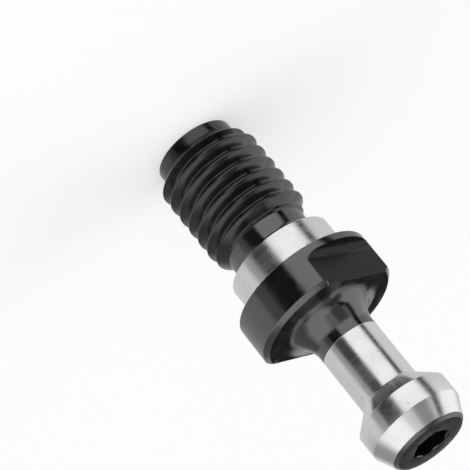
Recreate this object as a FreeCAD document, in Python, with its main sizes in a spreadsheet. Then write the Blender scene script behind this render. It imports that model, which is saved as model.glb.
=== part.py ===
import FreeCAD, Part
import os

import Sketcher

# Pull stud (retention knob) for a taper tool holder, turned from one bar of alloy steel.
# Sizes are in millimetres and angles in degrees. The origin is the centre of the flange's
# seating face, which lies in Z = 0. +Z runs up through the neck and shank to the gripping
# head, and the pilot and the right-hand thread hang below.

SIZES = {
    # Flange and its two wrench flats
    "flange_diameter": 16.5,
    "flange_thickness": 5.0,
    "flange_front_chamfer": 0.5,
    "seating_edge_break": 0.15,
    "rim_thickness": 0.9,
    "wrench_across_flats": 13.0,
    "wrench_corner_radius": 0.9,
    "wrench_edge_break": 0.25,
    # Neck, shank and gripping head, with heights above the seating face
    "neck_radius": 3.0,
    "shank_diameter": 7.0,
    "grip_cone_start": 16.0,
    "grip_cone_end": 18.0,
    "head_diameter": 11.0,
    "head_land_length": 2.5,
    "nose_diameter": 9.0,
    "nose_chamfer": 0.4,
    "head_height": 23.0,
    # Hexagon socket in the end of the head
    "socket_across_flats": 4.0,
    "socket_depth": 2.8,
    "socket_turn": 23.3,
    "socket_mouth_diameter": 4.2,
    "socket_drill_diameter": 3.8,
    "socket_drill_depth": 3.4,
    "socket_drill_point": 118.0,
    # Pilot and thread relief
    "pilot_diameter": 12.5,
    "pilot_length": 4.1,
    "pilot_edge_break": 0.1,
    "relief_length": 2.65,
    "relief_clearance": 0.08,
    "relief_corner_radius": 1.15,
    # Metric thread, with its end below the seating face and its groove starting below the
    # pilot. Depth and crest are shares of the pitch, as the thread's standard form gives them.
    "thread_diameter": 12.0,
    "thread_pitch": 1.75,
    "thread_depth_share": 0.6134,
    "thread_crest_share": 0.125,
    "thread_flank_angle": 30.0,
    "thread_start": 1.85,
    "thread_end": 20.5,
    "thread_point_diameter": 9.4,
    "thread_point_length": 1.35,
}

# How far a cutter runs past the surface that it starts from
CUT_OVERRUN = 0.2

# Heights and radii that several features share
POINT_TOP = "(-sizes.thread_end + sizes.thread_point_length)"
RELIEF_EDGE = "(-sizes.pilot_length - sizes.relief_length)"
GROOVE_START = "(-sizes.pilot_length - sizes.thread_start)"
THREAD_DEPTH = "(sizes.thread_depth_share * sizes.thread_pitch)"
THREAD_ROOT = "(sizes.thread_diameter / 2 - %s)" % THREAD_DEPTH
RELIEF_RADIUS = "(%s - sizes.relief_clearance)" % THREAD_ROOT
RELIEF_WALL = "(sizes.pilot_diameter / 2 - sizes.pilot_edge_break - %s)" % RELIEF_RADIUS
RELIEF_CORNER = "min(sizes.relief_corner_radius; 0.9 * %s)" % RELIEF_WALL
HALF_FLATS = "(sizes.wrench_across_flats / 2)"


def make_sheet(doc, values):
    """The spreadsheet that holds the driving dimensions, one named cell for each."""
    sheet = doc.addObject("Spreadsheet::Sheet", "sizes")
    for row, (name, value) in enumerate(values.items(), start=1):
        sheet.set("A%d" % row, name)
        sheet.set("B%d" % row, str(value))
        sheet.setAlias("B%d" % row, name)
    doc.recompute()
    return sheet


def origin_feature(body, role):
    """The body's own origin plane or axis that has this role."""
    for feature in body.Origin.OriginFeatures:
        if feature.Role == role:
            return feature
    raise ValueError("no origin feature has the role " + role)


def add_outline(body, name, plane, corners, arc_centres=None):
    """A closed outline on an origin plane.

    corners maps each corner's name to the expressions for its two coordinates. The side
    that arrives at a corner is straight, unless arc_centres gives that corner a centre,
    and then it is a clockwise arc.
    """
    arc_centres = arc_centres or {}
    sketch = body.newObject("Sketcher::SketchObject", name)
    sketch.AttachmentSupport = [(origin_feature(body, plane), "")]
    sketch.MapMode = "FlatFace"

    def point(pair):
        """The place that a pair of expressions gives now."""
        return FreeCAD.Vector(body.evalExpression(pair[0]), body.evalExpression(pair[1]), 0)

    def bind(axis, side, end, expression, label):
        """Ties one coordinate of a point to its expression."""
        value = body.evalExpression(expression)
        index = sketch.addConstraint(Sketcher.Constraint(axis, -1, 1, side, end, value))
        sketch.renameConstraint(index, label)
        sketch.setExpression("Constraints." + label, expression)

    names = list(corners)
    for side, end_name in enumerate(names):
        start = point(corners[names[side - 1]])
        end = point(corners[end_name])
        if end_name in arc_centres:
            centre = point(arc_centres[end_name])
            circle = Part.Circle(centre, FreeCAD.Vector(0, 0, 1), (end - centre).Length)
            # A sketch's arcs run counter-clockwise, so this one is drawn from its end
            sketch.addGeometry(Part.ArcOfCircle(circle, circle.parameter(end), circle.parameter(start)))
        else:
            sketch.addGeometry(Part.LineSegment(start, end))

    def side_end(side):
        """Which end of a side's curve lies at the corner that the side arrives at."""
        return 1 if names[side] in arc_centres else 2

    for side, end_name in enumerate(names):
        after = (side + 1) % len(names)
        near = 3 - side_end(after)
        sketch.addConstraint(Sketcher.Constraint("Coincident", side, side_end(side), after, near))
        bind("DistanceX", side, side_end(side), corners[end_name][0], end_name + "_across")
        bind("DistanceY", side, side_end(side), corners[end_name][1], end_name + "_along")
        if end_name in arc_centres:
            bind("DistanceX", side, 3, arc_centres[end_name][0], end_name + "_centre")
    return sketch


def turned_blank(body):
    """The whole stud as turned: one half section swept round the Z axis."""
    corners = {
        "end_centre": ("0", "-sizes.thread_end"),
        "point_edge": ("sizes.thread_point_diameter / 2", "-sizes.thread_end"),
        "point_top": ("sizes.thread_point_diameter / 2", POINT_TOP),
        "lead_end": (
            "sizes.thread_diameter / 2",
            POINT_TOP + " + (sizes.thread_diameter - sizes.thread_point_diameter) / 2",
        ),
        "thread_top": (
            "sizes.thread_diameter / 2",
            "%s - (sizes.thread_diameter / 2 - %s)" % (RELIEF_EDGE, RELIEF_RADIUS),
        ),
        "relief_start": (RELIEF_RADIUS, RELIEF_EDGE),
        "relief_floor": (RELIEF_RADIUS, "-sizes.pilot_length - " + RELIEF_CORNER),
        "relief_end": (RELIEF_RADIUS + " + " + RELIEF_CORNER, "-sizes.pilot_length"),
        "pilot_foot": (
            "sizes.pilot_diameter / 2 - sizes.pilot_edge_break",
            "-sizes.pilot_length",
        ),
        "pilot_edge": (
            "sizes.pilot_diameter / 2",
            "-sizes.pilot_length + sizes.pilot_edge_break",
        ),
        "pilot_top": ("sizes.pilot_diameter / 2", "0"),
        "seat_edge": ("sizes.flange_diameter / 2 - sizes.seating_edge_break", "0"),
        "flange_foot": ("sizes.flange_diameter / 2", "sizes.seating_edge_break"),
        "flange_top": (
            "sizes.flange_diameter / 2",
            "sizes.flange_thickness - sizes.flange_front_chamfer",
        ),
        "front_edge": (
            "sizes.flange_diameter / 2 - sizes.flange_front_chamfer",
            "sizes.flange_thickness",
        ),
        "neck_foot": ("sizes.shank_diameter / 2 + sizes.neck_radius", "sizes.flange_thickness"),
        "neck_top": ("sizes.shank_diameter / 2", "sizes.flange_thickness + sizes.neck_radius"),
        "shank_top": ("sizes.shank_diameter / 2", "sizes.grip_cone_start"),
        "head_back": ("sizes.head_diameter / 2", "sizes.grip_cone_end"),
        "head_front": (
            "sizes.head_diameter / 2",
            "sizes.grip_cone_end + sizes.head_land_length",
        ),
        "nose_edge": ("sizes.nose_diameter / 2", "sizes.head_height - sizes.nose_chamfer"),
        "end_edge": ("sizes.nose_diameter / 2 - sizes.nose_chamfer", "sizes.head_height"),
        "head_centre": ("0", "sizes.head_height"),
    }
    arc_centres = {
        "relief_end": (corners["relief_end"][0], corners["relief_floor"][1]),
        "neck_top": (corners["neck_foot"][0], corners["neck_top"][1]),
    }
    section = add_outline(body, "turned_section", "XZ_Plane", corners, arc_centres)
    blank = body.newObject("PartDesign::Revolution", "turned_blank")
    blank.Profile = section
    blank.ReferenceAxis = (section, ["V_Axis"])
    blank.Angle = 360
    return blank


def wrench_flats(body):
    """Two parallel flats milled down from the flange's front face to a full round rim."""
    outside = "sizes.flange_diameter / 2 + %g" % CUT_OVERRUN
    above = "sizes.flange_thickness + %g" % CUT_OVERRUN
    corners = {
        "rim_outside": (outside, "sizes.rim_thickness"),
        "rim_inside": (HALF_FLATS + " + sizes.wrench_corner_radius", "sizes.rim_thickness"),
        "flat_foot": (HALF_FLATS, "sizes.rim_thickness + sizes.wrench_corner_radius"),
        "flat_end": (HALF_FLATS, "sizes.flange_thickness - sizes.wrench_edge_break"),
        "break_end": (HALF_FLATS + " - sizes.wrench_edge_break - %g" % CUT_OVERRUN, above),
        "top_outside": (outside, above),
    }
    arc_centres = {"flat_foot": (corners["rim_inside"][0], corners["flat_foot"][1])}
    section = add_outline(body, "flat_section", "YZ_Plane", corners, arc_centres)
    flat = body.newObject("PartDesign::Pocket", "wrench_flat")
    flat.Profile = section
    flat.Type = "ThroughAll"
    flat.SideType = "Symmetric"
    both = body.newObject("PartDesign::Mirrored", "wrench_flats")
    both.Originals = [flat]
    both.MirrorPlane = (origin_feature(body, "XZ_Plane"), [""])
    body.Tip = both
    return both


def hexagon_socket(body):
    """The broached hexagon, with the drilled hole and the countersunk mouth it starts from."""
    corner_radius = "sizes.socket_across_flats / 2 / cos(30)"
    corners = {}
    for corner in range(6):
        turn = "(sizes.socket_turn - %d)" % (60 * corner)
        corners["corner_%d" % corner] = (
            "%s * cos%s" % (corner_radius, turn),
            "%s * sin%s" % (corner_radius, turn),
        )
    section = add_outline(body, "socket_section", "XY_Plane", corners)
    section.setExpression("AttachmentOffset.Base.z", "sizes.head_height")
    socket = body.newObject("PartDesign::Pocket", "hexagon_socket")
    socket.Profile = section
    socket.setExpression("Length", "sizes.socket_depth")

    drill_radius = "sizes.socket_drill_diameter / 2"
    drill_bottom = "sizes.head_height - sizes.socket_drill_depth"
    above = "sizes.head_height + %g" % CUT_OVERRUN
    corners = {
        "drill_tip": ("0", drill_bottom + " - " + drill_radius + " / tan(sizes.socket_drill_point / 2)"),
        "drill_top": ("0", above),
        "mouth_edge": ("sizes.socket_mouth_diameter / 2 + %g" % CUT_OVERRUN, above),
        "mouth_foot": (
            drill_radius,
            "sizes.head_height - (sizes.socket_mouth_diameter - sizes.socket_drill_diameter) / 2",
        ),
        "drill_corner": (drill_radius, drill_bottom),
    }
    section = add_outline(body, "drill_section", "XZ_Plane", corners)
    drilling = body.newObject("PartDesign::Groove", "socket_drilling")
    drilling.Profile = section
    drilling.ReferenceAxis = (section, ["V_Axis"])
    drilling.Angle = 360
    return drilling


def thread_groove(body):
    """The right-hand thread, cut from inside the relief to past the stud's end.

    The groove starts on the -X side, so its section has negative distances across.
    """
    flank = " * tan(sizes.thread_flank_angle)"
    clear_of_crest = "(sizes.thread_crest_share * sizes.thread_pitch / 4)"
    crest_radius = "(sizes.thread_diameter / 2 + %s)" % clear_of_crest
    crest_half = "(sizes.thread_pitch * (1 - sizes.thread_crest_share) / 2)"
    outer_half = "(%s + %s%s)" % (crest_half, clear_of_crest, flank)
    root_half = "(%s - %s%s)" % (crest_half, THREAD_DEPTH, flank)
    corners = {
        "lower_outside": ("-" + crest_radius, "%s - %s" % (GROOVE_START, outer_half)),
        "lower_root": ("-" + THREAD_ROOT, "%s - %s" % (GROOVE_START, root_half)),
        "upper_root": ("-" + THREAD_ROOT, "%s + %s" % (GROOVE_START, root_half)),
        "upper_outside": ("-" + crest_radius, "%s + %s" % (GROOVE_START, outer_half)),
    }
    section = add_outline(body, "thread_section", "XZ_Plane", corners)
    thread = body.newObject("PartDesign::SubtractiveHelix", "thread")
    thread.Profile = section
    thread.ReferenceAxis = (section, ["V_Axis"])
    thread.Mode = "pitch-height-angle"
    thread.setExpression("Pitch", "sizes.thread_pitch")
    thread.setExpression("Height", "sizes.thread_end + %s + sizes.thread_pitch" % GROOVE_START)
    thread.Angle = 0
    thread.LeftHanded = False
    thread.Reversed = True
    return thread


def check_model(doc, body, volumes):
    """Stops the build unless every object is sound and every cut took material away."""
    for item in doc.Objects:
        if "Invalid" in item.State or "Error" in item.State:
            raise RuntimeError("%s did not build: %s" % (item.Name, item.State))
    for (before, larger), (after, smaller) in zip(volumes, volumes[1:]):
        if smaller >= larger:
            raise RuntimeError("%s cut nothing from %s" % (after, before))
    shape = body.Shape
    if shape.isNull() or not shape.isValid() or len(shape.Solids) != 1:
        raise RuntimeError(body.Label + " is not one valid solid")


doc = FreeCAD.newDocument("pull_stud_model")
make_sheet(doc, SIZES)
stud = doc.addObject("PartDesign::Body", "stud")
stud.Label = "pull_stud"
stud.Placement = FreeCAD.Placement()

volumes = []
for build in (turned_blank, wrench_flats, hexagon_socket, thread_groove):
    feature = build(stud)
    doc.recompute()
    volumes.append((feature.Name, feature.Shape.Volume))
check_model(doc, stud, volumes)

os.makedirs("parts", exist_ok=True)
stud.Shape.exportStep("parts/%s.step" % stud.Label)
for name, volume in volumes:
    print("%-16s %9.2f mm3" % (name, volume))
print(stud.Shape.BoundBox)
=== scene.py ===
import math

import bmesh
import bpy
from bpy.props import FloatProperty, FloatVectorProperty, PointerProperty
from mathutils import Matrix, Vector


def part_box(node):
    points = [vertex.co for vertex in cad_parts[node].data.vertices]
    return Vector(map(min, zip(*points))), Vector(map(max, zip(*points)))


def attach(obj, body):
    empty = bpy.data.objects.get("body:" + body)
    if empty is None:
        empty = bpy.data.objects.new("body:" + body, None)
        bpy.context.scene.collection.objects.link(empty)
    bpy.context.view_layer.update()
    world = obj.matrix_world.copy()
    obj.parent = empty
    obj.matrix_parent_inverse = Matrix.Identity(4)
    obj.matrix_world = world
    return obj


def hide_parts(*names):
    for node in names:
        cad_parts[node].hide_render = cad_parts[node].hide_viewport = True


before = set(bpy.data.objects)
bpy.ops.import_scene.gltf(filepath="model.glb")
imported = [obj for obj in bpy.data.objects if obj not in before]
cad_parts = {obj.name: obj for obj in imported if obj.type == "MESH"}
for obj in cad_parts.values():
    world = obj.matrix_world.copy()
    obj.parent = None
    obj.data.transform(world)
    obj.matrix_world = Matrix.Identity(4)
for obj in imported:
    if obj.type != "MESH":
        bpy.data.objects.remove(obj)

bl_info = {
    "name": "Pull stud",
    "version": (1, 0, 0),
    "blender": (4, 5, 0),
    "location": "3D View > Sidebar > Pull stud",
    "description": "A taper tool holder's pull stud, with its finishes and a small studio",
    "category": "Add Mesh",
}

NODE = "pull_stud"
LOWEST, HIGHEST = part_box(NODE)
MM = 0.001

# How finely the round forms are divided
TURN_STEPS = 192
THREAD_STEPS = 96
NECK_STEPS = 36
CORNER_STEPS = 12
SHARP_ANGLE = math.radians(40)

# Distances at which two vertices are one, and at which a vertex lies on a ring
MERGE = 1e-7
NEAR = 1e-6

# The metric thread's form, with depth and crest as shares of the pitch
THREAD_DEPTH_SHARE = 0.6134
THREAD_CREST_SHARE = 0.125
THREAD_FLANK = math.radians(30)

# The point of the drilling under the hexagon, over both its sides
DRILL_POINT = math.radians(118)

# Broken edges, the step where the shank's grinding starts, and how far cutters run past
EDGE_BREAK = 0.05 * MM
GROUND_STEP = 0.012 * MM
CUT_OVERRUN = 0.3 * MM

# The studio: half the floor's width, what the floor adds for the eye, and the tent's grey
FLOOR_HALF = 6.0
FLOOR_LIFT = 0.5
TENT_SHADE = 0.64

# The finishes, in the order of the piece's material slots
GROUND, TURNED, MILLED, THREADED, FACED = range(5)


def length(name, description, millimetres):
    """A length that is set in metres, with its default given in millimetres."""
    return FloatProperty(
        name=name,
        description=description,
        default=millimetres * MM,
        min=0.0,
        unit="LENGTH",
        subtype="DISTANCE",
        precision=5,
    )


def angle(name, description, degrees):
    """An angle that is kept in radians, with its default given in degrees."""
    return FloatProperty(
        name=name,
        description=description,
        default=math.radians(degrees),
        subtype="ANGLE",
        unit="ROTATION",
    )


def colour(name, description, shade):
    """A colour without transparency."""
    return FloatVectorProperty(
        name=name,
        description=description,
        default=shade,
        size=3,
        min=0.0,
        max=1.0,
        subtype="COLOR",
    )


class StudSizes(bpy.types.PropertyGroup):
    """The stud's lengths, with heights measured from the flange's seating face."""

    flange_diameter: length("Flange diameter", "Across the flange", 16.5)
    flange_thickness: length("Flange thickness", "From seating face to front face", 5.0)
    flange_chamfer: length("Flange chamfer", "Bevel round the front face", 0.5)
    across_flats: length("Across flats", "Between the two wrench flats", 13.0)
    rim_thickness: length("Rim thickness", "Full round rim below the flats", 0.9)
    flat_corner: length("Flat corner", "Radius between flat and rim", 0.9)
    flat_break: length("Flat edge break", "Bevel along a flat's front edge", 0.25)
    neck_radius: length("Neck radius", "Curve from flange to shank", 3.0)
    shank_diameter: length("Shank diameter", "Across the ground shank", 7.0)
    ground_start: length("Ground start", "Height where the shank's grinding starts", 8.85)
    cone_start: length("Grip cone start", "Height where the head starts", 16.0)
    cone_end: length("Grip cone end", "Height of the head's full width", 18.0)
    head_diameter: length("Head diameter", "Across the head", 11.0)
    land_length: length("Head land", "Length of the head's cylinder", 2.5)
    nose_diameter: length("Nose diameter", "Across the small end of the nose", 9.0)
    nose_chamfer: length("Nose chamfer", "Bevel round the end face", 0.4)
    socket_across: length("Socket", "Across the hexagon's flats", 4.0)
    socket_depth: length("Socket depth", "Depth of the hexagon", 2.8)
    mouth_diameter: length("Socket mouth", "Across the countersink", 4.2)
    drill_diameter: length("Socket drilling", "Across the drilled hole", 3.8)
    drill_depth: length("Drilling depth", "Depth of the drilled hole", 3.4)
    pilot_diameter: length("Pilot diameter", "Across the ground pilot", 12.5)
    pilot_length: length("Pilot length", "From seating face to relief", 4.1)
    relief_length: length("Relief length", "Groove between pilot and thread", 2.65)
    relief_corner: length("Relief corner", "Radius between relief and pilot", 1.15)
    relief_clearance: length("Relief clearance", "How far it lies under the thread root", 0.08)
    thread_diameter: length("Thread diameter", "Across the thread's crests", 12.0)
    thread_pitch: length("Thread pitch", "From crest to crest", 1.75)
    thread_start: length("Thread start", "From the pilot down to the groove's start", 1.85)
    point_diameter: length("Thread point", "Across the plain point", 9.4)
    point_length: length("Point length", "Length of the plain point", 1.35)
    socket_turn: angle("Socket turn", "Angle of the hexagon about the stud's axis", 23.3)


class StudColours(bpy.types.PropertyGroup):
    """The colours of the two finishes and the studio."""

    steel: colour("Ground steel", "Bright ground surfaces", (0.88, 0.88, 0.87))
    oxide: colour("Black oxide", "Blackened surfaces", (0.0035, 0.0035, 0.0033))
    # The thread's browner black is a painted warm reflection put into its colour; it is not
    # wear.
    oxide_painted_warm_reflection: colour("Oxide with painted warm reflection", "Browner black on the thread", (0.009, 0.0065, 0.005))
    floor: colour("Floor", "The pale floor", (0.82, 0.82, 0.82))


class StudView(bpy.types.PropertyGroup):
    """Where the camera stands."""

    azimuth: angle("Azimuth", "Way round the stud", 51.72)
    elevation: angle("Elevation", "Angle above level", 24.23)
    roll: angle("Roll", "Turn about the line of sight", -141.34)
    distance: length("Distance", "From the camera to the point it looks at", 297.45)
    lens: FloatProperty(name="Lens", description="Focal length in millimetres", default=209.8)
    aim: FloatVectorProperty(
        name="Aim",
        description="The point looked at, in metres",
        default=(0.00145, 0.00184, -0.00946),
        unit="LENGTH",
        subtype="XYZ",
    )


# ---------------------------------------------------------------- shapes


def corner(radius, height, finish, rounding=0.0, segments=3):
    """One corner of the turned section. The finish is that of the side that leaves it."""
    return {
        "r": radius,
        "z": height,
        "finish": finish,
        "rounding": rounding,
        "segments": segments,
    }


def turned_section(s):
    """The stud's half section from the thread's end up, over the head and down the socket."""
    flange = s.flange_diameter / 2
    shank = s.shank_diameter / 2
    head = s.head_diameter / 2
    nose = s.nose_diameter / 2
    pilot = s.pilot_diameter / 2
    thread = s.thread_diameter / 2
    point = s.point_diameter / 2
    drill = s.drill_diameter / 2
    mouth = s.mouth_diameter / 2
    relief = thread_root(s) - s.relief_clearance
    bottom = LOWEST.z
    top = HIGHEST.z
    relief_edge = -s.pilot_length - s.relief_length
    nose_start = s.cone_end + s.land_length
    chamfer_start = top - s.nose_chamfer
    return [
        corner(0, bottom, TURNED),
        corner(point, bottom, THREADED, 0.08 * MM),
        corner(point, bottom + s.point_length, THREADED),
        corner(thread, bottom + s.point_length + thread - point, THREADED, 0.06 * MM),
        corner(thread, relief_edge - thread + relief, THREADED, 0.06 * MM),
        corner(relief, relief_edge, TURNED),
        corner(relief, -s.pilot_length, TURNED, s.relief_corner, CORNER_STEPS),
        corner(pilot, -s.pilot_length, GROUND, 0.1 * MM),
        corner(pilot, 0, GROUND),
        corner(flange, 0, TURNED, 0.15 * MM),
        corner(flange, s.flange_thickness - s.flange_chamfer, TURNED, EDGE_BREAK),
        corner(flange - s.flange_chamfer, s.flange_thickness, TURNED, EDGE_BREAK),
        corner(shank, s.flange_thickness, TURNED, s.neck_radius, NECK_STEPS),
        corner(shank, s.ground_start, GROUND),
        corner(shank - GROUND_STEP, s.ground_start + GROUND_STEP, GROUND),
        corner(shank - GROUND_STEP, s.cone_start, GROUND, 0.15 * MM),
        corner(head, s.cone_end, GROUND, EDGE_BREAK),
        corner(head, nose_start, GROUND, EDGE_BREAK),
        corner(nose, chamfer_start, FACED, EDGE_BREAK),
        corner(nose - s.nose_chamfer, top, FACED, EDGE_BREAK),
        corner(mouth, top, TURNED, 0.03 * MM),
        corner(drill, top - mouth + drill, TURNED),
        corner(drill, top - s.drill_depth, TURNED),
        corner(0, top - s.drill_depth - drill / math.tan(DRILL_POINT / 2), TURNED),
    ]


def thread_root(s):
    """Radius at the root of the metric thread."""
    return s.thread_diameter / 2 - THREAD_DEPTH_SHARE * s.thread_pitch


def turn_section(bm, corners):
    """Sweeps a section round the Z axis, then rounds the corners that ask for it."""
    chain = [bm.verts.new((c["r"], 0, c["z"])) for c in corners]
    sides = []
    for start, end in zip(chain, chain[1:]):
        sides.append(bm.edges.new((start, end)))
    bmesh.ops.spin(
        bm,
        geom=chain + sides,
        cent=(0, 0, 0),
        axis=(0, 0, 1),
        dvec=(0, 0, 0),
        angle=2 * math.pi,
        steps=TURN_STEPS,
        use_merge=True,
        use_duplicate=False,
    )
    bmesh.ops.remove_doubles(bm, verts=bm.verts, dist=MERGE)
    bmesh.ops.recalc_face_normals(bm, faces=bm.faces)
    for face in bm.faces:
        face.material_index = side_finish(face, corners)
    for c in corners:
        if c["rounding"]:
            round_ring(bm, c)


def on_ring(vert, c):
    """Whether a vertex lies on the ring that a corner of the section swept."""
    radius = math.hypot(vert.co.x, vert.co.y)
    return abs(radius - c["r"]) < NEAR and abs(vert.co.z - c["z"]) < NEAR


def side_finish(face, corners):
    """The finish of the section's side that swept a face."""
    for start, end in zip(corners, corners[1:]):
        at_start = [on_ring(v, start) for v in face.verts]
        at_end = [on_ring(v, end) for v in face.verts]
        if any(at_start) and any(at_end) and all(a or b for a, b in zip(at_start, at_end)):
            return start["finish"]
    raise ValueError("a swept face belongs to no side of the section")


def round_ring(bm, c):
    """Rounds the ring edge that one corner swept."""
    ring = [e for e in bm.edges if on_ring(e.verts[0], c) and on_ring(e.verts[1], c)]
    bmesh.ops.bevel(
        bm,
        geom=ring,
        offset=c["rounding"],
        offset_type="OFFSET",
        segments=c["segments"],
        profile=0.5,
        affect="EDGES",
        material=-1,
        clamp_overlap=False,
    )


def extruded(bm, points, plane, start, end, finish):
    """A closed prism: an outline in the XY or YZ plane, extruded from start to end."""
    if plane == "YZ":
        verts = [bm.verts.new((start, across, up)) for across, up in points]
        along = Vector((end - start, 0, 0))
    else:
        verts = [bm.verts.new((across, up, start)) for across, up in points]
        along = Vector((0, 0, end - start))
    cap = bm.faces.new(verts)
    made = bmesh.ops.extrude_face_region(bm, geom=[cap], use_keep_orig=True)["geom"]
    moved = [v for v in made if isinstance(v, bmesh.types.BMVert)]
    bmesh.ops.translate(bm, verts=moved, vec=along)
    for face in {f for v in verts + moved for f in v.link_faces}:
        face.material_index = finish


def flat_cutters(bm, s):
    """Two prisms that mill the wrench flats, with a round corner at the rim."""
    half = s.across_flats / 2
    outside = s.flange_diameter / 2 + CUT_OVERRUN
    above = s.flange_thickness + CUT_OVERRUN
    foot = s.rim_thickness
    for side in (-1, 1):
        points = [(outside, foot), (half + s.flat_corner, foot)]
        for step in range(1, CORNER_STEPS):
            turn = math.radians(90 * step / CORNER_STEPS)
            points.append(
                (
                    half + s.flat_corner * (1 - math.sin(turn)),
                    foot + s.flat_corner * (1 - math.cos(turn)),
                )
            )
        points.append((half, foot + s.flat_corner))
        points.append((half, s.flange_thickness - s.flat_break))
        points.append((half - s.flat_break - CUT_OVERRUN, above))
        points.append((outside, above))
        points = [(side * across, up) for across, up in points]
        extruded(bm, points, "YZ", -outside, outside, MILLED)


def socket_cutter(bm, s):
    """The hexagon that the broach leaves in the end of the head."""
    floor = Matrix.Translation((0, 0, HIGHEST.z - s.socket_depth))
    made = bmesh.ops.create_circle(
        bm,
        cap_ends=True,
        segments=6,
        radius=s.socket_across / 2 / math.cos(math.radians(30)),
        matrix=floor @ Matrix.Rotation(s.socket_turn, 4, "Z"),
    )
    cap = made["verts"][0].link_faces[0]
    lifted = bmesh.ops.extrude_face_region(bm, geom=[cap], use_keep_orig=True)["geom"]
    moved = [v for v in lifted if isinstance(v, bmesh.types.BMVert)]
    bmesh.ops.translate(bm, verts=moved, vec=(0, 0, s.socket_depth + CUT_OVERRUN))
    for face in {f for v in made["verts"] + moved for f in v.link_faces}:
        face.material_index = MILLED


def thread_cutter(bm, s):
    """The thread's groove: its section swept down a right-hand helix from the -X side."""
    pitch = s.thread_pitch
    crest = s.thread_diameter / 2
    root = thread_root(s)
    slope = math.tan(THREAD_FLANK)
    crest_half = pitch * (1 - THREAD_CREST_SHARE) / 2
    root_half = crest_half - (crest - root) * slope
    edge = 0.045 * MM
    over = 0.06 * MM
    half_section = [
        (root, root_half - 0.07 * MM),
        (root + 0.03 * MM, root_half - 0.02 * MM),
        (root + 0.1 * MM, root_half + 0.1 * MM * slope),
        (crest - edge, crest_half - edge * slope),
        (crest, crest_half + edge * 0.7),
        (crest + over, crest_half + edge + over),
    ]
    start = -s.pilot_length - s.thread_start
    outline = [(r, start + half) for r, half in half_section]
    outline += [(r, start - half) for r, half in reversed(half_section)]
    verts = [bm.verts.new((-r, 0, z)) for r, z in outline]
    section = bm.faces.new(verts)
    turns = (start - LOWEST.z) / pitch + 1
    steps = math.ceil(turns * THREAD_STEPS)
    turn = 2 * math.pi * steps / THREAD_STEPS
    before = set(bm.faces)
    bmesh.ops.spin(
        bm,
        geom=[section],
        cent=(0, 0, 0),
        axis=(0, 0, 1),
        dvec=(0, 0, -pitch / THREAD_STEPS),
        angle=-turn,
        steps=steps,
        use_merge=False,
        use_duplicate=False,
    )
    for face in (set(bm.faces) - before) | {section}:
        if face.is_valid:
            face.material_index = THREADED


def mesh_object(name, bm):
    """A new object at the origin that holds a bmesh."""
    mesh = bpy.data.meshes.new(name)
    bm.to_mesh(mesh)
    bm.free()
    piece = bpy.data.objects.new(name, mesh)
    bpy.context.scene.collection.objects.link(piece)
    return piece


def cut_away(piece, cutter):
    """Takes one object's space out of another and drops the cutter."""
    cut = piece.modifiers.new("cut", "BOOLEAN")
    cut.operation = "DIFFERENCE"
    cut.solver = "EXACT"
    cut.material_mode = "INDEX"
    cut.object = cutter
    graph = bpy.context.evaluated_depsgraph_get()
    result = bpy.data.meshes.new_from_object(piece.evaluated_get(graph))
    piece.modifiers.clear()
    old = piece.data
    piece.data = result
    bpy.data.meshes.remove(old)
    bpy.data.objects.remove(cutter)


# ---------------------------------------------------------------- finishes


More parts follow.
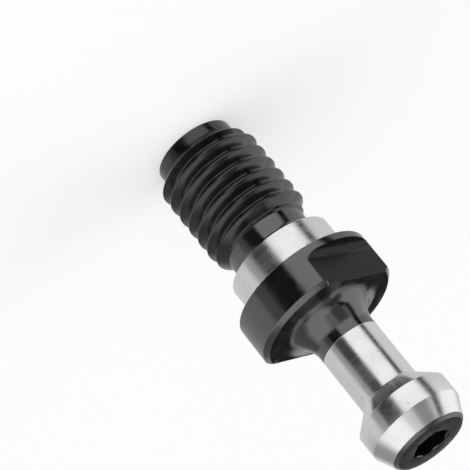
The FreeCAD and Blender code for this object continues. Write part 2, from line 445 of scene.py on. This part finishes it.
class Finish:
    """A material under construction: short calls that add nodes and join them."""

    def __init__(self, name):
        self.material = bpy.data.materials.new(name)
        self.material.use_nodes = True
        self.tree = self.material.node_tree
        self.tree.nodes.clear()
        output = self.tree.nodes.new("ShaderNodeOutputMaterial")
        self.shader = self.tree.nodes.new("ShaderNodeBsdfPrincipled")
        self.join(self.shader.outputs[0], output.inputs[0])
        self.place = self.tree.nodes.new("ShaderNodeTexCoord").outputs["Object"]

    def join(self, source, socket):
        """Links an output to an input."""
        self.tree.links.new(source, socket)

    def add(self, kind, inputs=None, **settings):
        """Adds a node. An input is a plain value or another node's output."""
        made = self.tree.nodes.new(kind)
        for name, value in settings.items():
            setattr(made, name, value)
        for name, value in (inputs or {}).items():
            if isinstance(value, bpy.types.NodeSocket):
                self.join(value, made.inputs[name])
            else:
                made.inputs[name].default_value = value
        return made

    def maths(self, operation, first, second=0.0, third=0.0):
        """One sum on plain numbers or outputs."""
        inputs = {0: first, 1: second, 2: third}
        return self.add("ShaderNodeMath", inputs, operation=operation).outputs[0]

    def ramp(self, value, low, high, to_low=0.0, to_high=1.0):
        """A value mapped from one range to another, and held inside it."""
        inputs = {
            "Value": value,
            "From Min": low,
            "From Max": high,
            "To Min": to_low,
            "To Max": to_high,
        }
        made = self.add("ShaderNodeMapRange", inputs, interpolation_type="SMOOTHSTEP")
        return made.outputs[0]

    def stretched(self, scale):
        """The piece's own coordinates in metres, stretched by a scale for each axis."""
        return self.add("ShaderNodeMapping", {"Vector": self.place, "Scale": scale}).outputs[0]

    def across_axis(self, centre, axes):
        """The distance in metres from a line through a point, over the axes that are 1."""
        moved = self.add("ShaderNodeMapping", {"Vector": self.place, "Location": centre})
        level = self.add(
            "ShaderNodeVectorMath", {0: moved.outputs[0], 1: axes}, operation="MULTIPLY"
        )
        reach = self.add("ShaderNodeVectorMath", {0: level.outputs[0]}, operation="LENGTH")
        return reach.outputs["Value"]

    def noise(self, where, scale, detail=2.0, roughness=0.5):
        """Soft random values between 0 and 1, always the same for the same place."""
        inputs = {"Vector": where, "Scale": scale, "Detail": detail, "Roughness": roughness}
        return self.add("ShaderNodeTexNoise", inputs).outputs["Fac"]

    def blend(self, share, first, second):
        """One colour turned into another by a share."""
        made = self.add("ShaderNodeMix", data_type="RGBA")
        for index, value in ((0, share), (6, first), (7, second)):
            if isinstance(value, bpy.types.NodeSocket):
                self.join(value, made.inputs[index])
            elif index == 0:
                made.inputs[index].default_value = value
            else:
                made.inputs[index].default_value = (*value, 1.0)
        return made.outputs[2]

    def bump(self, height, distance, strength=1.0, under=None):
        """A normal tilted by a height, over the normal of another bump if one is given."""
        inputs = {"Height": height, "Distance": distance, "Strength": strength}
        if under is not None:
            inputs["Normal"] = under
        return self.add("ShaderNodeBump", inputs).outputs[0]

    def set(self, **values):
        """Sets or joins the shader's own sockets, with spaces written as underscores."""
        for name, value in values.items():
            socket = self.shader.inputs[name.replace("_", " ")]
            if isinstance(value, bpy.types.NodeSocket):
                self.join(value, socket)
            elif socket.type == "RGBA":
                socket.default_value = (*value, 1.0)
            else:
                socket.default_value = value


def ground_steel(c):
    """Bright ground steel: fine rings from the wheel, faint clouding and a few pits."""
    f = Finish("ground_steel")
    rings = f.noise(f.stretched((60, 60, 14000)), 1.0, 3.0, 0.6)
    clouds = f.noise(f.place, 420, 3.0)
    scratch = f.ramp(rings, 0.35, 0.7)
    haze = f.ramp(clouds, 0.35, 0.7, 0.17, 0.23)
    rough = f.maths("ADD", haze, f.maths("MULTIPLY", scratch, 0.08))
    tint = f.blend(f.ramp(clouds, 0.3, 0.7), c.steel, [0.95 * v for v in c.steel])
    pits = f.ramp(f.noise(f.place, 3400, 0.0), 0.84, 0.87)
    f.set(
        Base_Color=f.blend(pits, tint, (0.25, 0.25, 0.25)),
        Metallic=1.0,
        Roughness=rough,
        Normal=f.bump(pits, -0.00002, 0.6, f.bump(rings, 0.0000025, 0.5)),
    )
    return f.material


def black_oxide(name, skin, ring_height, gloss, index):
    """Turned and blackened steel: a dark skin over faint turning rings.

    gloss is its least and greatest roughness, and index how strongly it mirrors.
    """
    f = Finish(name)
    rings = f.noise(f.stretched((80, 80, 9000)), 1.0, 2.0)
    clouds = f.noise(f.place, 600, 3.0)
    f.set(
        Base_Color=f.blend(f.ramp(clouds, 0.35, 0.7), skin, [1.6 * v for v in skin]),
        Metallic=0.0,
        IOR=index,
        Roughness=f.ramp(clouds, 0.3, 0.7, *gloss),
        Normal=f.bump(rings, ring_height, 0.6),
    )
    return f.material


def milled_oxide(c):
    """Blackened faces that a cutter swept in shallow arcs."""
    f = Finish("milled_oxide")
    feed = 0.4 * MM
    reach = f.across_axis((-4 * MM, 0, 12 * MM), (1, 0, 1))
    arcs = f.maths("SINE", f.maths("MULTIPLY", reach, 2 * math.pi / feed))
    clouds = f.noise(f.place, 900, 3.0)
    f.set(
        Base_Color=f.blend(f.ramp(clouds, 0.4, 0.7), c.oxide, [2 * v for v in c.oxide]),
        Metallic=0.0,
        IOR=1.35,
        Roughness=f.ramp(clouds, 0.3, 0.7, 0.25, 0.4),
        Normal=f.bump(f.maths("MULTIPLY", arcs, clouds), 0.000004, 0.4),
    )
    return f.material


def faced_oxide(c):
    """The blackened end of the head, with the facing tool's rings."""
    f = Finish("faced_oxide")
    reach = f.across_axis((0, 0, 0), (1, 1, 0))
    rings = f.add(
        "ShaderNodeTexNoise",
        {"W": f.maths("MULTIPLY", reach, 5000.0), "Scale": 1.0, "Detail": 2.0},
        noise_dimensions="1D",
    ).outputs["Fac"]
    clouds = f.noise(f.place, 900, 3.0)
    f.set(
        Base_Color=f.blend(f.ramp(rings, 0.4, 0.7), c.oxide, [3 * v for v in c.oxide]),
        Metallic=0.0,
        IOR=2.2,
        Roughness=f.ramp(clouds, 0.3, 0.7, 0.25, 0.4),
        Normal=f.bump(rings, 0.00002, 0.7),
    )
    return f.material


# ---------------------------------------------------------------- operators


class PULLSTUD_OT_body(bpy.types.Operator):
    """Make the stud: turned body, wrench flats, hexagon socket and thread"""

    bl_idname = "pullstud.body"
    bl_label = "Make the stud"

    def execute(self, context):
        s = context.scene.stud_sizes
        c = context.scene.stud_colours
        blank = bmesh.new()
        turn_section(blank, turned_section(s))
        stud = mesh_object("stud_body", blank)
        cutters = bmesh.new()
        flat_cutters(cutters, s)
        socket_cutter(cutters, s)
        thread_cutter(cutters, s)
        bmesh.ops.recalc_face_normals(cutters, faces=cutters.faces)
        cutter = mesh_object("cutters", cutters)
        finishes = [
            ground_steel(c),
            black_oxide("turned_oxide", c.oxide, 0.000003, (0.12, 0.22), 2.2),
            milled_oxide(c),
            # The thread's browner skin is a painted warm reflection.
            black_oxide("thread_oxide", c.oxide_painted_warm_reflection, 0.000005, (0.16, 0.28), 1.7),
            faced_oxide(c),
        ]
        for piece in (stud, cutter):
            for finish in finishes:
                piece.data.materials.append(finish)
        cut_away(stud, cutter)
        tidy = bmesh.new()
        tidy.from_mesh(stud.data)
        bmesh.ops.remove_doubles(tidy, verts=tidy.verts, dist=MERGE)
        for face in tidy.faces:
            face.smooth = True
        for edge in tidy.edges:
            edge.smooth = edge.calc_face_angle(math.pi) < SHARP_ANGLE
        loose = [e for e in tidy.edges if len(e.link_faces) != 2]
        if loose:
            raise RuntimeError("%d edges of the stud are open" % len(loose))
        tidy.to_mesh(stud.data)
        tidy.free()
        weighted = stud.modifiers.new("even_normals", "WEIGHTED_NORMAL")
        weighted.weight = 100
        weighted.keep_sharp = True
        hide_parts(NODE)
        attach(stud, "root")
        return {"FINISHED"}


# What hangs in the light tent, each card over those before it. The angles are in degrees:
# the way round from the camera, half the width, the lowest and highest edge, and the blur of
# the edges. The brightness comes last.
CARDS = [
    ("high side panel", -111, 32, -16, 60, 5, 1.0),
    ("high far grey", 122, 24, -16, 60, 10, 0.3),
    ("high near panel", 50, 36, -5, 60, 10, 1.0),
    ("high near grey", -36, 20, -5, 60, 10, 0.25),
    ("low key panel", -30, 32, -90, -8, 3, 1.0),
    ("low dark card", 27, 22, -90, -8, 4, 0.03),
    ("low grey card", 58, 10, -90, -8, 8, 0.3),
    ("edge flag", -76, 8, -90, 40, 4, 0.01),
    ("upper edge flag", -68, 10, 40, 62, 4, 0.01),
    ("top panel", 42, 62, 55, 90, 8, 1.0),
    ("top dark", -138, 100, 62, 90, 8, 0.15),
    ("far dark", 180, 25, 12, 45, 8, 0.04),
]


def light_tent(azimuth):
    """A grey tent round the stud, with bright panels and dark flags hung in it."""
    world = bpy.data.worlds.new("light_tent")
    world.use_nodes = True
    tree = world.node_tree
    tree.nodes.clear()

    def add(kind, inputs=None, **settings):
        made = tree.nodes.new(kind)
        for name, value in settings.items():
            setattr(made, name, value)
        for name, value in (inputs or {}).items():
            if isinstance(value, bpy.types.NodeSocket):
                tree.links.new(value, made.inputs[name])
            else:
                made.inputs[name].default_value = value
        return made

    def step(value, low, high):
        inputs = {"Value": value, "From Min": low, "From Max": high}
        return add("ShaderNodeMapRange", inputs, interpolation_type="SMOOTHSTEP").outputs[0]

    way = add("ShaderNodeTexCoord").outputs["Generated"]
    height = add("ShaderNodeSeparateXYZ", {0: way}).outputs[2]
    level = add("ShaderNodeVectorMath", {0: way, 1: (1, 1, 0)}, operation="MULTIPLY").outputs[0]
    level = add("ShaderNodeVectorMath", {0: level}, operation="NORMALIZE").outputs[0]
    shade = TENT_SHADE
    for name, turn, half, low, high, soft, brightness in CARDS:
        blur = math.radians(soft / 2)
        facing = azimuth + math.radians(turn)
        ahead = (math.cos(facing), math.sin(facing), 0)
        across = add("ShaderNodeVectorMath", {0: level, 1: ahead}, operation="DOT_PRODUCT")
        near = math.cos(max(math.radians(half) - blur, 0))
        far = math.cos(math.radians(half) + blur)
        share = step(across.outputs["Value"], far, near)
        if low > -90:
            edge = math.radians(low)
            rise = step(height, math.sin(edge - blur), math.sin(edge + blur))
            share = add("ShaderNodeMath", {0: share, 1: rise}, operation="MULTIPLY").outputs[0]
        if high < 90:
            edge = math.radians(high)
            fall = step(height, math.sin(edge + blur), math.sin(edge - blur))
            share = add("ShaderNodeMath", {0: share, 1: fall}, operation="MULTIPLY").outputs[0]
        mixed = add(
            "ShaderNodeMix", {0: share, 2: shade, 3: brightness}, data_type="FLOAT", label=name
        )
        shade = mixed.outputs[0]
    sight = add("ShaderNodeLightPath").outputs["Is Camera Ray"]
    seen = add("ShaderNodeMix", {0: sight, 2: shade, 3: 1.0}, data_type="FLOAT")
    background = add("ShaderNodeBackground", {"Strength": seen.outputs[0]})
    background.inputs["Color"].default_value = (1, 1, 1, 1)
    output = add("ShaderNodeOutputWorld")
    tree.links.new(background.outputs[0], output.inputs[0])
    return world


def pale_floor(c):
    """The floor's finish: nearly white, with the stud's soft shadow left on it."""
    material = bpy.data.materials.new("pale_floor")
    material.use_nodes = True
    tree = material.node_tree
    tree.nodes.clear()
    paper = tree.nodes.new("ShaderNodeBsdfDiffuse")
    paper.inputs["Color"].default_value = (*c.floor, 1.0)
    lift = tree.nodes.new("ShaderNodeEmission")
    sight = tree.nodes.new("ShaderNodeLightPath")
    share = tree.nodes.new("ShaderNodeMath")
    share.operation = "MULTIPLY"
    share.inputs[1].default_value = FLOOR_LIFT
    both = tree.nodes.new("ShaderNodeAddShader")
    output = tree.nodes.new("ShaderNodeOutputMaterial")
    tree.links.new(sight.outputs["Is Camera Ray"], share.inputs[0])
    tree.links.new(share.outputs[0], lift.inputs["Strength"])
    tree.links.new(paper.outputs[0], both.inputs[0])
    tree.links.new(lift.outputs[0], both.inputs[1])
    tree.links.new(both.outputs[0], output.inputs[0])
    return material


class PULLSTUD_OT_stage(bpy.types.Operator):
    """Make the floor, the light tent and the camera"""

    bl_idname = "pullstud.stage"
    bl_label = "Set the stage"

    def execute(self, context):
        c = context.scene.stud_colours
        v = context.scene.stud_view
        bm = bmesh.new()
        bmesh.ops.create_grid(
            bm,
            x_segments=1,
            y_segments=1,
            size=FLOOR_HALF,
            matrix=Matrix.Translation((0, 0, LOWEST.z)),
        )
        floor = mesh_object("floor", bm)
        floor.data.materials.append(pale_floor(c))
        floor.visible_glossy = False

        back = Vector(
            (
                math.sin(v.azimuth) * math.cos(v.elevation),
                -math.cos(v.azimuth) * math.cos(v.elevation),
                math.sin(v.elevation),
            )
        )
        context.scene.world = light_tent(math.atan2(back.y, back.x))
        lens = bpy.data.cameras.new("camera")
        lens.lens = v.lens
        lens.sensor_width = 36.0
        lens.clip_start = 0.01
        lens.clip_end = 20.0
        camera = bpy.data.objects.new("camera", lens)
        facing = (-back).to_track_quat("-Z", "Y").to_matrix().to_4x4()
        camera.matrix_world = (
            Matrix.Translation(Vector(v.aim) + back * v.distance)
            @ facing
            @ Matrix.Rotation(-v.roll, 4, "Z")
        )
        context.scene.collection.objects.link(camera)
        context.scene.camera = camera
        context.scene.view_settings.view_transform = "Standard"
        return {"FINISHED"}


class PULLSTUD_PT_panel(bpy.types.Panel):
    """The stud's settings and its operators"""

    bl_idname = "PULLSTUD_PT_panel"
    bl_label = "Pull stud"
    bl_space_type = "VIEW_3D"
    bl_region_type = "UI"
    bl_category = "Pull stud"

    def draw(self, context):
        scene = context.scene
        for group in (scene.stud_sizes, scene.stud_colours, scene.stud_view):
            box = self.layout.box()
            for name in group.__annotations__:
                box.prop(group, name)
        for operator in OPERATORS:
            self.layout.operator(operator.bl_idname)


OPERATORS = (PULLSTUD_OT_stage, PULLSTUD_OT_body)
CLASSES = (StudSizes, StudColours, StudView, *OPERATORS, PULLSTUD_PT_panel)


def register():
    """Adds the classes, and the settings to the scene."""
    for cls in CLASSES:
        bpy.utils.register_class(cls)
    bpy.types.Scene.stud_sizes = PointerProperty(type=StudSizes)
    bpy.types.Scene.stud_colours = PointerProperty(type=StudColours)
    bpy.types.Scene.stud_view = PointerProperty(type=StudView)


def unregister():
    """Takes the settings and the classes away again."""
    del bpy.types.Scene.stud_view
    del bpy.types.Scene.stud_colours
    del bpy.types.Scene.stud_sizes
    for cls in reversed(CLASSES):
        bpy.utils.unregister_class(cls)


def main():
    """Makes the stage and the stud."""
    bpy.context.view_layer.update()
    register()
    bpy.ops.pullstud.stage()
    bpy.ops.pullstud.body()


if __name__ == "__main__":
    main()
